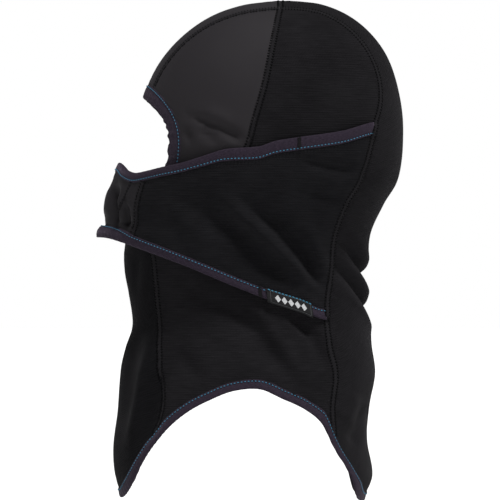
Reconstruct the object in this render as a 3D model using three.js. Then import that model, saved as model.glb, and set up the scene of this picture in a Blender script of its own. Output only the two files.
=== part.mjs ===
// A winter balaclava with a pull-down face mask, standing open as it does on a head.
// Millimetres. Y runs from the face (-) to the nape (+), X to the wearer's left, Z up.
// All heights below are measured from the head's centre; the exported group is shifted
// so that its origin is where the inside of the crown rests on the head.
import * as THREE from 'three';
import { mergeVertices } from 'three/addons/utils/BufferGeometryUtils.js';

// Head
const headRadius = 104.5;
const crownSwell = 8; // extra radius behind the crown
const swellStart = 75; // degrees round from the brow
const headHalfWidth = 79;
const roundness = 2.2; // exponent of the sections: 2 is an ellipse, more is squarer
const maskRoundness = 2;

// Fabric
const fabricThickness = 1.4;
const seamGap = 0.7;
const edgeGap = 2.2; // between a panel and the binding along its edge
const maskLift = 3; // outer face of the mask above the hood
const maskEase = 6; // how much further the mask stands off over the cheeks
const bindingThickness = 2.6;
const bindingProud = 0.7; // how far a binding stands above the fabric it edges
const faceBindingWidth = 8;
const maskBindingWidth = 7.5;
const hemBindingWidth = 6.5;

// Face opening, seen from the front: two half ellipses on a common width
const openingHalfWidth = 55;
const openingRise = 35.5;
const openingDrop = 68;
const openingHeight = -7;
const browRoundness = 2.3; // exponent of the upper half
const sideTurn = 0.65; // share of a margin that shows at the sides, where the face turns away

// Seams
const crownSeamAngle = 94; // degrees round from the brow
const browStripHalfWidth = 31.5;
const crownStripHalfWidth = 36;
const maskFrontAngle = 40.5; // degrees round from the nose
const openingSeamAngle = 129; // where the crown seam meets the face opening

// The mask swings about a level line across the ears, this far behind the head's centre
const hingeFront = 9.5;

const degrees = Math.PI / 180;
const lerp = THREE.MathUtils.lerp;

// A smooth curve through [position, value] stops, level at both ends.
function track(stops) {
  const last = stops.length - 1;
  const slope = i => {
    if (i === 0 || i === last) return 0;
    return (stops[i + 1][1] - stops[i - 1][1]) / (stops[i + 1][0] - stops[i - 1][0]);
  };
  return position => {
    if (position <= stops[0][0]) return stops[0][1];
    if (position >= stops[last][0]) return stops[last][1];
    const next = stops.findIndex(stop => stop[0] > position);
    const [from, start] = stops[next - 1];
    const [to, end] = stops[next];
    const span = to - from;
    const t = (position - from) / span;
    const bend = start * (1 + 2 * t) * (1 - t) ** 2 + end * (3 - 2 * t) * t * t;
    return bend + span * (slope(next - 1) * t * (1 - t) ** 2 - slope(next) * t * t * (1 - t));
  };
}

// Outline of the neck and bib by depth below the head's centre
const hoodFront = track([[0, -104.5], [35, -106], [67, -111], [90, -116], [107, -115.5],
  [125, -112.5], [150, -109.5], [168, -115], [185, -119], [221, -122], [245, -124.5],
  [265, -123.5], [290, -118]]);
const back = track([[0, 104.5], [20, 103.5], [38, 99], [55, 88.5], [80, 78], [120, 76],
  [165, 79.5], [188, 82.5], [215, 77.5], [240, 76], [268, 80], [290, 73]]);
const halfWidth = track([[0, headHalfWidth], [35, 76], [67, 69], [105, 61], [145, 60],
  [190, 71], [240, 80], [290, 82]]);
const maskFront = track([[0, -108], [22, -116], [35, -122], [55, -128], [72, -128],
  [80, -131], [130, -128]]);

// Half widths of the panels that cross the middle
const backPanelHalfWidth = track([[94, 36], [108, 36], [126, 39.5], [148, 43.5], [164, 49],
  [179, 56], [209, 58.5], [232, 56], [255, 51.5], [284, 47], [320, 48.5], [354, 53], [386, 57.5],
  [404, 58.5]]);
const neckPanelHalfWidth = track([[50, 44], [96, 44.5], [146, 42], [177, 52], [218, 62]]);

// Heights of the edges against how far round they are: 1 is the nose, -1 the nape
const hemEdge = track([[-1, -288], [-0.88, -278], [-0.75, -250], [-0.63, -226], [-0.48, -213.5],
  [-0.28, -204.5], [-0.1, -197.5], [0.1, -199], [0.26, -205.5], [0.42, -214.5], [0.56, -227],
  [0.69, -245], [0.79, -261], [0.89, -276], [1, -285]]);
const maskTopEdge = track([[-0.8, 8], [-0.5, 0], [-0.16, -5.5], [-0.02, -8], [0.08, -11.8],
  [0.3, -14], [0.45, -20], [0.56, -24.8], [0.66, -28], [0.77, -31.5], [0.84, -32.5],
  [0.92, -29], [1, -23.5]]);
const maskBottomEdge = track([[-0.62, -145], [-0.4, -137.3], [-0.14, -128.6], [0.04, -121],
  [0.3, -107.5], [0.43, -101], [0.63, -92.5], [0.88, -82.5], [1, -78]]);

// The mask side ends short of the part sewn to the hood, so that it can swing down
const movingRearEdge = track([[0, 19.5], [12, 18], [63, hingeFront - 0.5], [117, -36], [130, -44]]);
const sewnFrontEdge = track([[0, 22], [12, 20.5], [63, hingeFront + 1.5], [118, -8], [130, -11]]);

function crownRadius(angle) {
  const turn = Math.max(0, angle / degrees - swellStart) / (180 - swellStart);
  return headRadius + crownSwell * Math.sin(Math.PI * turn) ** 2;
}

// A rounded body: a head above height 0, level oval sections below it.
function makeForm(front, frontPower) {
  const centre = depth => (hoodFront(depth) + back(depth)) / 2;

  function reach(y, z) {
    if (z >= 0) return -Math.sign(y || 1) * Math.hypot(y, z) / crownRadius(Math.atan2(z, -y));
    const middle = centre(-z);
    return y < middle ? (middle - y) / (middle - front(-z)) : (middle - y) / (back(-z) - middle);
  }
  const powerAt = q => (q > 0 ? frontPower : roundness);
  const widthAt = (q, z) => {
    const power = powerAt(q);
    return halfWidth(Math.max(0, -z)) * Math.max(0, 1 - Math.abs(q) ** power) ** (1 / power);
  };
  function level(point) {
    const q = reach(point.y, point.z);
    const power = powerAt(q);
    return (Math.abs(point.x) / halfWidth(Math.max(0, -point.z))) ** power + Math.abs(q) ** power;
  }
  function normal(point) {
    const step = 0.5;
    const slope = axis => {
      const ahead = point.clone();
      const behind = point.clone();
      ahead[axis] += step;
      behind[axis] -= step;
      return level(ahead) - level(behind);
    };
    return new THREE.Vector3(slope('x'), slope('y'), slope('z')).normalize();
  }
  return {
    reach,
    // Point at a side-view place, on the left (side 1) or right (side -1)
    onSide: (y, z, side) => new THREE.Vector3(side * widthAt(reach(y, z), z), y, z),
    // Point on the face at a front-view place
    onFace(x, z) {
      const power = z >= 0 ? roundness : frontPower;
      const q = (1 - (Math.abs(x) / halfWidth(Math.max(0, -z))) ** power) ** (1 / power);
      if (z >= 0) return new THREE.Vector3(x, -Math.sqrt((q * headRadius) ** 2 - z * z), z);
      const middle = centre(-z);
      return new THREE.Vector3(x, middle - q * (middle - front(-z)), z);
    },
    // Point by its angle round from the nose and its height
    around(angle, z) {
      const power = Math.cos(angle) > 0 ? frontPower : roundness;
      const q = Math.sign(Math.cos(angle)) * Math.abs(Math.cos(angle)) ** (2 / power);
      const x = Math.sign(angle) * widthAt(q, z);
      if (z >= 0) {
        const radius = Math.abs(q) * crownRadius(Math.PI - Math.asin(Math.min(1, z / headRadius)));
        return new THREE.Vector3(x, -Math.sign(q) * Math.sqrt(radius ** 2 - z * z), z);
      }
      const middle = centre(-z);
      const radius = q > 0 ? middle - front(-z) : back(-z) - middle;
      return new THREE.Vector3(x, middle - q * radius, z);
    },
    angleOf(y, z) {
      const q = reach(y, z);
      return Math.acos(Math.sign(q) * Math.min(1, Math.abs(q)) ** (powerAt(q) / 2));
    },
    lifted: (point, height) => point.clone().addScaledVector(normal(point), height),
  };
}

const hood = makeForm(hoodFront, roundness);
const mask = makeForm(maskFront, maskRoundness);
const reachOf = (angle, power) => Math.sign(Math.cos(angle)) * Math.abs(Math.cos(angle)) ** (2 / power);

// Point over the middle of the hood: below 0 down the front, 0 to 180 degrees over
// the head, above 180 down the back, with x the distance from the middle.
function overMiddle(place, x) {
  const depth = place < 0 ? -place : Math.max(0, place - 180);
  const q = (1 - (Math.abs(x) / halfWidth(depth)) ** roundness) ** (1 / roundness);
  if (place <= 180) {
    const angle = place * degrees;
    const radius = q * crownRadius(angle);
    return new THREE.Vector3(x, -radius * Math.cos(angle), radius * Math.sin(angle));
  }
  const middle = (hoodFront(depth) + back(depth)) / 2;
  return new THREE.Vector3(x, middle + q * (back(depth) - middle), -depth);
}

// Materials
const cloth = (color, roughness) => new THREE.MeshStandardMaterial({ color, roughness, metalness: 0 });
const windproof = cloth('#2d2b2e', 0.75);
const knit = cloth('#1c1c1e', 0.95);
const neckKnit = cloth('#161618', 0.95);
const binding = cloth('#332c36', 0.85);
const thread = cloth('#141416', 0.8);
const woven = cloth('#0e0e10', 0.7);

const balaclava = new THREE.Group();
balaclava.name = 'balaclava';

function signedVolume(positions, index) {
  const [a, b, c] = [new THREE.Vector3(), new THREE.Vector3(), new THREE.Vector3()];
  let sum = 0;
  for (let i = 0; i < index.count; i += 3) {
    a.fromBufferAttribute(positions, index.getX(i));
    b.fromBufferAttribute(positions, index.getX(i + 1));
    c.fromBufferAttribute(positions, index.getX(i + 2));
    sum += a.dot(b.cross(c));
  }
  return sum;
}

function addSolid(name, material, geometry, place) {
  geometry.deleteAttribute('normal');
  geometry.deleteAttribute('uv');
  const shape = mergeVertices(geometry);
  const positions = shape.attributes.position;
  for (let i = 0; i < positions.count; i += 1) {
    const corner = new THREE.Vector3().fromBufferAttribute(positions, i);
    const point = place(corner);
    positions.setXYZ(i, point.x, point.y, point.z);
  }
  const index = shape.index;
  if (signedVolume(positions, index) < 0) {
    for (let i = 0; i < index.count; i += 3) {
      const first = index.getX(i);
      index.setX(i, index.getX(i + 1));
      index.setX(i + 1, first);
    }
  }
  const solid = new THREE.Mesh(shape, material);
  solid.name = name;
  balaclava.add(solid);
}

// A slab bent onto a form: u and v run from 0 to 1 over it, and it fills the heights
// from low to high above the form.
function addSheet(name, material, form, across, along, low, high, spot) {
  addSolid(name, material, new THREE.BoxGeometry(1, 1, 1, across, along, 1), corner => {
    const point = spot(corner.x + 0.5, corner.y + 0.5);
    return form.lifted(point, lerp(low(point), high(point), corner.z + 0.5));
  });
}

// A closed band: turn runs once round the loop, across from 0 to 1 over its width.
function addLoop(name, material, form, steps, low, high, spot) {
  const tube = 0.25;
  addSolid(name, material, new THREE.TorusGeometry(1, tube, 4, steps), corner => {
    const turn = Math.atan2(corner.y, corner.x);
    const c = (Math.hypot(corner.x, corner.y) - 1) / tube;
    const s = corner.z / tube;
    const across = (1 + c - s) / 2;
    return form.lifted(spot(turn, across), lerp(low, high, (1 + c + s) / 2));
  });
}

const hoodInner = () => -fabricThickness;
const hoodOuter = () => 0;
const cheekWidth = 60; // from the middle to where the mask stands off fully
const cheekFront = 75; // ahead of the head's centre
const easeAt = point => {
  const cheek = Math.min(1, Math.abs(point.x) / cheekWidth) ** 2;
  return maskEase * cheek * THREE.MathUtils.smoothstep(-point.y, -hingeFront, cheekFront);
};
const maskOuter = point => maskLift + easeAt(point);
const maskInner = point => maskOuter(point) - fabricThickness;
const bindingOuter = point => maskOuter(point) + bindingProud;
const bindingInner = point => bindingOuter(point) - bindingThickness;
const sewnOuter = () => maskLift;
const sewnInner = () => maskLift - fabricThickness;
const sewnBindingOuter = () => maskLift + bindingProud;
const sewnBindingInner = () => maskLift + bindingProud - bindingThickness;

// Outline of the face opening, widened by a margin, by the angle down from its top
const openingReach = margin => openingHalfWidth + sideTurn * margin;
function openingAt(angle, margin) {
  const upper = Math.cos(angle) > 0;
  const [height, power] = upper ? [openingRise, 2 / browRoundness] : [openingDrop, 1];
  const across = Math.sign(angle) * Math.abs(Math.sin(angle)) ** power;
  const up = Math.sign(Math.cos(angle)) * Math.abs(Math.cos(angle)) ** power;
  return hood.onFace(openingReach(margin) * across, openingHeight + (height + margin) * up);
}

// Angle at which the upper half of that outline is a distance from the middle
function browAngleAt(x, margin) {
  return Math.sign(x) * Math.asin((Math.abs(x) / openingReach(margin)) ** (browRoundness / 2));
}

// Top of the hem binding, measured square to the hem
const hemGirth = 112; // round the hem for each whole step of q
const steepestHem = 1.2;
function hemTop(q) {
  const step = 0.01;
  const slope = (hemEdge(q + step) - hemEdge(q - step)) / (2 * step * hemGirth);
  return hemEdge(q) + hemBindingWidth * Math.hypot(1, Math.min(Math.abs(slope), steepestHem));
}

// Height of the hem's top below a side-view place or a distance from the middle
function hemTopAt(y) {
  let z = hemEdge(0);
  for (let i = 0; i < 6; i += 1) z = hemTop(hood.reach(y, z));
  return z;
}
function hemTopAcross(x, facing) {
  let z = hemEdge(facing);
  for (let i = 0; i < 6; i += 1) {
    z = hemTop(facing * (1 - (Math.abs(x) / halfWidth(-z)) ** roundness) ** (1 / roundness));
  }
  return z;
}

// Side-view seams: the crown seam sweeps forward under the mask to the face opening
// and runs on down the neck; the back seam edges the centre back panel.
const neckSeamFoot = hemTopAcross(neckPanelHalfWidth(300), 1) + edgeGap;
const backSeamFoot = hemTopAcross(backPanelHalfWidth(450), -1) + edgeGap;
const openingCorner = openingAt(openingSeamAngle * degrees, faceBindingWidth + seamGap);
const crownTop = overMiddle(crownSeamAngle, crownStripHalfWidth);
const crownSeam = new THREE.SplineCurve([
  new THREE.Vector2(crownTop.y, crownTop.z),
  new THREE.Vector2(1.5, 70),
  new THREE.Vector2(-5, 37),
  new THREE.Vector2(-12.5, 10),
  new THREE.Vector2(-19.5, -14),
  new THREE.Vector2(-34, -36),
  new THREE.Vector2(-62, -49),
  new THREE.Vector2(openingCorner.y + 4, openingCorner.z - 4),
]);
const neckSeamStart = -openingCorner.z + 9;
// Place on one side of the crown seam: ahead of it (-1) or behind it (1)
function besideCrownSeam(t, side) {
  const point = crownSeam.getPointAt(t);
  const along = crownSeam.getTangentAt(t);
  return point.add(new THREE.Vector2(-along.y, along.x).multiplyScalar(side * seamGap / 2));
}
function sideFrontEdge(t) {
  if (t <= 0.5) return besideCrownSeam(2 * t, 1);
  const depth = lerp(neckSeamStart, -neckSeamFoot, 2 * t - 1);
  const point = hood.onFace(neckPanelHalfWidth(depth) + seamGap, -depth);
  return new THREE.Vector2(point.y, point.z);
}
function sideBackEdge(t) {
  const place = lerp(crownSeamAngle + 4, 180 - backSeamFoot, t);
  const point = overMiddle(place, backPanelHalfWidth(place) + seamGap);
  return new THREE.Vector2(point.y, point.z);
}

// Crown strip over the middle of the forehead
addSheet('crown_strip', windproof, hood, 6, 12, hoodInner, hoodOuter, (u, v) => {
  const x = (2 * u - 1) * (lerp(browStripHalfWidth, crownStripHalfWidth, v) - seamGap / 2);
  const margin = faceBindingWidth + seamGap;
  const brow = openingAt(browAngleAt(x, margin), margin);
  const browAngle = Math.atan2(brow.z, -brow.y) / degrees;
  return overMiddle(lerp(browAngle, crownSeamAngle - 0.3, v), x);
});

// Centre back panel from the crown to the hem
addSheet('centre_back_panel', knit, hood, 10, 26, hoodInner, hoodOuter, (u, v) => {
  const side = 2 * u - 1;
  const foot = 180 - hemTopAcross(side * backPanelHalfWidth(450), -1) - edgeGap;
  const place = lerp(crownSeamAngle + 0.3, foot, v);
  return overMiddle(place, side * (backPanelHalfWidth(place) - seamGap / 2));
});

// Neck front panel from the chin to the hem
addSheet('neck_front_panel', neckKnit, hood, 10, 12, hoodInner, hoodOuter, (u, v) => {
  const side = 2 * u - 1;
  const x = depth => side * (neckPanelHalfWidth(depth) - seamGap / 2);
  const margin = faceBindingWidth + seamGap;
  const chin = openingAt(Math.PI - Math.asin(x(50) / openingReach(margin)), margin).z;
  const z = lerp(chin, hemTopAcross(x(250), 1) + edgeGap, v);
  return hood.onFace(x(-z), z);
});

// Face binding round the whole opening, its lower half under the mask
addLoop('face_binding', binding, hood, 64, bindingProud - bindingThickness, bindingProud,
  (turn, across) => openingAt(turn, across * faceBindingWidth));

// Hem binding round the foot of the bib
addLoop('hem_binding', binding, hood, 108, bindingProud - bindingThickness, bindingProud,
  (turn, across) => {
    const q = reachOf(turn, roundness);
    return hood.around(turn, lerp(hemEdge(q), hemTop(q), across));
  });

// Mask front panel, which covers the nose and mouth and joins both sides
const frontSeamHalfGap = 0.006; // radians
const maskPanelTop = q => maskTopEdge(q) - maskBindingWidth - edgeGap;
const maskPanelFoot = q => maskBottomEdge(q) + maskBindingWidth + edgeGap;
addSheet('mask_front_panel', windproof, mask, 16, 5, maskInner, maskOuter, (u, v) => {
  const angle = (2 * u - 1) * (maskFrontAngle * degrees - frontSeamHalfGap);
  const q = reachOf(angle, maskRoundness);
  return mask.around(angle, lerp(maskPanelTop(q), maskPanelFoot(q), v));
});

// Point of a mask panel between two upright edges, each an angle that depends on height
function betweenEdges(frontAngle, rearAngle, top, foot, u, v) {
  let angle = frontAngle(-60);
  let z = -60;
  for (let i = 0; i < 8; i += 1) {
    angle = lerp(frontAngle(z), rearAngle(z), u);
    const power = Math.cos(angle) > 0 ? maskRoundness : roundness;
    const q = reachOf(angle, power);
    z = lerp(top(q), foot(q), v);
  }
  return [angle, z];
}

const barTackWidth = 2.4;
const earRadius = 78; // of the mask near the ears, to turn lengths into angles
const seamReach = z => {
  const place = z >= 0 ? 180 - z / headRadius / degrees : 180 - z;
  const share = backPanelHalfWidth(place) / halfWidth(Math.max(0, -z));
  return Math.acos(-((1 - share ** roundness) ** (1 / 2)));
};

// Band of mask binding whose upper or lower edge follows the mask's edge
function bandSpot(angles, edge, start, side) {
  return (u, v) => {
    const angle = lerp(angles[0], angles[1], v);
    const power = Math.cos(angle) > 0 ? maskRoundness : roundness;
    const z = edge(reachOf(angle, power)) + lerp(start, start + maskBindingWidth, u);
    return mask.around(side * angle, z);
  };
}
const topBandRear = mask.angleOf(movingRearEdge(6), -6);
const topBandSewn = mask.angleOf(sewnFrontEdge(6), -6);
const topBandEnd = mask.angleOf(76, 0.5);
const footBandRear = mask.angleOf(movingRearEdge(112), -112);
const footBandSewn = mask.angleOf(sewnFrontEdge(122), -122);
const footBandEnd = mask.angleOf(42, -141);

addSheet('mask_top_binding', binding, mask, 1, 64, bindingInner, bindingOuter,
  bandSpot([-topBandRear, topBandRear], maskTopEdge, -maskBindingWidth, 1));
addSheet('mask_bottom_binding', binding, mask, 1, 64, bindingInner, bindingOuter,
  bandSpot([-footBandRear, footBandRear], maskBottomEdge, 0, 1));

for (const [name, side] of [['left', 1], ['right', -1]]) {
  // Forehead panel between the crown strip, the crown seam and the face opening
  addSheet(`forehead_panel_${name}`, windproof, hood, 8, 12, hoodInner, hoodOuter, (u, v) => {
    const seam = t => besideCrownSeam(t, -1);
    const edge = t => {
      const margin = faceBindingWidth + seamGap;
      const top = browAngleAt(browStripHalfWidth + seamGap, margin);
      const point = openingAt(lerp(top, openingSeamAngle * degrees, t), margin);
      return new THREE.Vector2(point.y, point.z);
    };
    const brow = Math.atan2(edge(0).y, -edge(0).x) / degrees;
    const stripX = lerp(browStripHalfWidth, crownStripHalfWidth, u) + seamGap / 2;
    const strip = overMiddle(lerp(brow, crownSeamAngle - 0.3, u), stripX);
    const straight = edge(0).lerp(seam(0), u);
    const plain = edge(v).lerp(seam(v), u);
    plain.x += (1 - v) * (strip.y - straight.x);
    plain.y += (1 - v) * (strip.z - straight.y);
    return hood.onSide(plain.x, plain.y, side);
  });

  // Side panel from the crown to the hem, under the mask
  addSheet(`side_panel_${name}`, knit, hood, 12, 24, hoodInner, hoodOuter, (u, v) => {
    const share = (1 - Math.cos(Math.PI * u)) / 2;
    const plain = sideFrontEdge(v).lerp(sideBackEdge(v), share);
    const foot = sideFrontEdge(1).lerp(sideBackEdge(1), share);
    plain.y += v ** 3 * (hemTopAt(foot.x) + edgeGap - foot.y);
    return hood.onSide(plain.x, plain.y, side);
  });

  // Side of the mask, which moves with it
  addSheet(`mask_side_${name}`, knit, mask, 10, 8, maskInner, maskOuter, (u, v) => {
    const [angle, z] = betweenEdges(() => maskFrontAngle * degrees + frontSeamHalfGap,
      height => mask.angleOf(movingRearEdge(-height), height), maskPanelTop, maskPanelFoot, u, v);
    return mask.around(side * angle, z);
  });

  // Rear of the mask, sewn flat onto the hood
  addSheet(`mask_rear_${name}`, knit, mask, 6, 8, sewnInner, sewnOuter, (u, v) => {
    const [angle, z] = betweenEdges(height => mask.angleOf(sewnFrontEdge(-height), height),
      seamReach, maskPanelTop, maskPanelFoot, u, v);
    return mask.around(side * angle, z);
  });
  addSheet(`mask_top_binding_rear_${name}`, binding, mask, 1, 10, sewnBindingInner,
    sewnBindingOuter, bandSpot([topBandSewn, topBandEnd], maskTopEdge, -maskBindingWidth, side));
  addSheet(`mask_bottom_binding_rear_${name}`, binding, mask, 1, 8, sewnBindingInner,
    sewnBindingOuter, bandSpot([footBandSewn, footBandEnd], maskBottomEdge, 0, side));

  // Bar tacks that hold the ends of the mask down
  const tack = (start, edge, first) => {
    const sweep = barTackWidth / earRadius;
    addSheet(`bar_tack_${edge}_${name}`, thread, mask, 1, 4,
      () => sewnBindingOuter() + 0.3, () => sewnBindingOuter() + 1.2, (u, v) => {
        const height = edge === 'top' ? maskTopEdge : maskBottomEdge;
        const z = height(reachOf(start, roundness)) + lerp(first, first + maskBindingWidth, v);
        return mask.around(side * (start + u * sweep), z);
      });
  };
  tack(topBandSewn + 0.01, 'top', -maskBindingWidth);
  tack(footBandSewn + 0.01, 'bottom', 0);
}

// Woven label on the left end of the mask's lower binding
const labelLength = 36;
const labelWidth = 10;
const labelStart = footBandSewn + 4.5 / earRadius;
addSheet('woven_label', woven, mask, 10, 1, () => sewnBindingOuter() + 0.3,
  () => sewnBindingOuter() + 1.3, (u, v) => {
    const angle = labelStart + u * labelLength / earRadius;
    const power = Math.cos(angle) > 0 ? maskRoundness : roundness;
    const middle = maskBottomEdge(reachOf(angle, power)) + maskBindingWidth / 2;
    return mask.around(angle, middle + (v - 0.5) * labelWidth);
  });

// The inside of the crown is the origin
const crown = hood.lifted(overMiddle(crownSeamAngle, 0), -fabricThickness);
balaclava.position.set(0, -crown.y, -crown.z);

export default balaclava;
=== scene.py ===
"""Looks of a winter balaclava with a pull-down face mask, filled out as it is worn.

Shapes are worked out in millimetres from the head's centre, with Y from the face (-) to the
nape (+), X to the wearer's left and Z up, and moved into the frame in metres at the end.
"""

import math

import bmesh
import bpy
import numpy as np
from mathutils import Matrix, Vector


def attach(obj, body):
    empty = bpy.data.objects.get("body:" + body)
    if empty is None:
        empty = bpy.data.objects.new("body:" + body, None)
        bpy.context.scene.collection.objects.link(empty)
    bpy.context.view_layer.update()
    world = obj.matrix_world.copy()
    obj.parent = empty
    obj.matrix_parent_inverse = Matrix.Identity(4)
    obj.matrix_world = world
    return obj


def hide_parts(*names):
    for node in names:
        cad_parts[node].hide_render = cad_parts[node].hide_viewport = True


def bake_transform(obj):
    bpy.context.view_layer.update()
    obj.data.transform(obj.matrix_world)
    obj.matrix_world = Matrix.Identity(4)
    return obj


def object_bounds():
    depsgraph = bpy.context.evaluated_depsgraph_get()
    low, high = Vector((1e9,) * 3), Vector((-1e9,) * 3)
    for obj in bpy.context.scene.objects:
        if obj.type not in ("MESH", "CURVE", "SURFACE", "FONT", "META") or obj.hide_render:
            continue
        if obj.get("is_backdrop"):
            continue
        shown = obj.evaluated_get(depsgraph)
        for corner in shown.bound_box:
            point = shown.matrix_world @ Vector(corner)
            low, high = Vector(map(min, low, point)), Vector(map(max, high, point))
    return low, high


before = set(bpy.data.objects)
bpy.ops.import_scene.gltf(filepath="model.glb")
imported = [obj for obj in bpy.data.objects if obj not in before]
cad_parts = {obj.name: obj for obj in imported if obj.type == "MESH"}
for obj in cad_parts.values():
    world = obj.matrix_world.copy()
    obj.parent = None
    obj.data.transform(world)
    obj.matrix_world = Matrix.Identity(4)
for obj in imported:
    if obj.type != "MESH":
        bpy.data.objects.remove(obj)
cad_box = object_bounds()

# ---------------------------------------------------------------- sizes
# As in the CAD part, but for the bindings, which are wider here, and the mask's lower edge,
# which hangs up to 3 mm lower at the nose.

HEAD_RADIUS = 104.5
CROWN_SWELL = 8
SWELL_START = 75  # degrees round from the brow
HEAD_HALF_WIDTH = 79
ROUNDNESS = 2.2
MASK_ROUNDNESS = 2.0
CAD_FABRIC = 1.4

MASK_LIFT = 3.0
MASK_EASE = 6.0
FACE_BINDING = 11.0
MASK_BINDING = 8.4
MASK_BAND_FRONT = 7.2
MASK_BAND_REAR = 9.8
HEM_BINDING = 7.2
STITCH_INSET = 1.5  # from a binding's inner edge to its topstitch, where a panel ends too
UNDER_FACE_BINDING = FACE_BINDING - STITCH_INSET
UNDER_HEM_BINDING = HEM_BINDING - STITCH_INSET
MASK_TUCK = 1.6  # how far the mask's panels run under its bindings

OPENING_HALF_WIDTH = 55
OPENING_RISE = 35.5
OPENING_DROP = 68
OPENING_HEIGHT = -7
BROW_ROUNDNESS = 2.3
SIDE_TURN = 0.65

CROWN_SEAM_ANGLE = 94
BROW_STRIP = 31.5
CROWN_STRIP = 36
MASK_FRONT_ANGLE = math.radians(40.5)
OPENING_SEAM_ANGLE = math.radians(129)
HEM_GIRTH = 112
STEEPEST_HEM = 1.2

# ---------------------------------------------------------------- sizes of cloth and thread

FABRIC = 1.1
CUT_STRETCH = 1.03  # each way, from the cut panel to the worn one
TAPE = 2.4
SEAM_WIDTH = 5.2
SEAM_ROWS = 0.36  # each row of stitches from the seam's middle, as a share of its width
TOPSTITCH_PITCH = 2.7
FLATLOCK_PITCH = 2.3
STITCH_LENGTH = 1.05  # of a flatlock stitch, as a share of its row's distance from the seam
NEEDLE_HOLE = 0.0005  # radius, in metres
MESH_STEP = 2.2
LABEL_LENGTH = 36.0
LABEL_WIDTH = 11.0
LABEL_MARGIN = 0.001
LABEL_LINE = 0.0004
LOZENGE_PITCH = 0.0054
NOSE_CURL = 3.0
NOSE_CURL_REACH = 15
TAPE_SIDES = 18
BINDING_SUNK = -0.3
PUCKER = 0.28
PUCKER_REACH = 4.5


def track(*stops):
    """A smooth curve through (position, value) stops, level at both ends."""
    at = np.array([stop[0] for stop in stops], float)
    value = np.array([stop[1] for stop in stops], float)
    slope = np.zeros_like(value)
    slope[1:-1] = (value[2:] - value[:-2]) / (at[2:] - at[:-2])

    def read(position):
        x = np.clip(position, at[0], at[-1])
        i = np.clip(np.searchsorted(at, x, side="right") - 1, 0, len(at) - 2)
        span = at[i + 1] - at[i]
        t = (x - at[i]) / span
        plain = value[i] * (1 + 2 * t) * (1 - t) ** 2 + value[i + 1] * (3 - 2 * t) * t * t
        return plain + span * (slope[i] * t * (1 - t) ** 2 - slope[i + 1] * t * t * (1 - t))

    return read


hood_front = track((0, -104.5), (35, -106), (67, -111), (90, -116), (107, -115.5),
                   (125, -112.5), (150, -109.5), (168, -115), (185, -119), (221, -122),
                   (245, -124.5), (265, -123.5), (290, -118))
back = track((0, 104.5), (20, 103.5), (38, 99), (55, 88.5), (80, 78), (120, 76),
             (165, 79.5), (188, 82.5), (215, 77.5), (240, 76), (268, 80), (290, 73))
half_width = track((0, HEAD_HALF_WIDTH), (35, 76), (67, 69), (105, 61), (145, 60),
                   (190, 71), (240, 80), (290, 82))
mask_front = track((0, -108), (22, -116), (35, -122), (55, -128), (72, -128),
                   (80, -131), (130, -128))
back_panel_half = track((94, 36), (108, 36), (126, 39.5), (148, 43.5), (164, 49),
                        (179, 56), (209, 58.5), (232, 56), (255, 51.5), (284, 47),
                        (320, 48.5), (354, 53), (386, 57.5), (404, 58.5))
neck_panel_half = track((50, 44), (96, 44.5), (146, 42), (177, 52), (218, 62))
hem_edge = track((-1, -288), (-0.88, -278), (-0.75, -250), (-0.63, -226), (-0.48, -213.5),
                 (-0.28, -204.5), (-0.1, -197.5), (0.1, -199), (0.26, -205.5),
                 (0.42, -214.5), (0.56, -227), (0.69, -245), (0.79, -261), (0.89, -276),
                 (1, -285))
mask_top_edge = track((-0.8, 8), (-0.5, 0), (-0.16, -5.5), (-0.02, -8), (0.08, -11.8),
                      (0.3, -14), (0.45, -20), (0.56, -24.8), (0.66, -28), (0.77, -31.5),
                      (0.84, -32.5), (0.92, -29), (1, -23.5))
mask_bottom_edge = track((-0.62, -145), (-0.4, -137.3), (-0.14, -128.6), (0.04, -121),
                         (0.3, -107.5), (0.43, -101), (0.63, -92.5), (0.88, -83.3), (1, -81))


def smooth(x, low, high):
    t = np.clip((x - low) / (high - low), 0, 1)
    return t * t * (3 - 2 * t)


def mix(a, b, t):
    return a + (b - a) * t


def signed_power(x, power):
    return np.sign(x) * np.abs(x) ** power


def crown_radius(angle):
    turn = np.clip((np.degrees(angle) - SWELL_START) / (180 - SWELL_START), 0, 1)
    return HEAD_RADIUS + CROWN_SWELL * np.sin(np.pi * turn) ** 2


def centre(depth):
    return (hood_front(depth) + back(depth)) / 2


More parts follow.
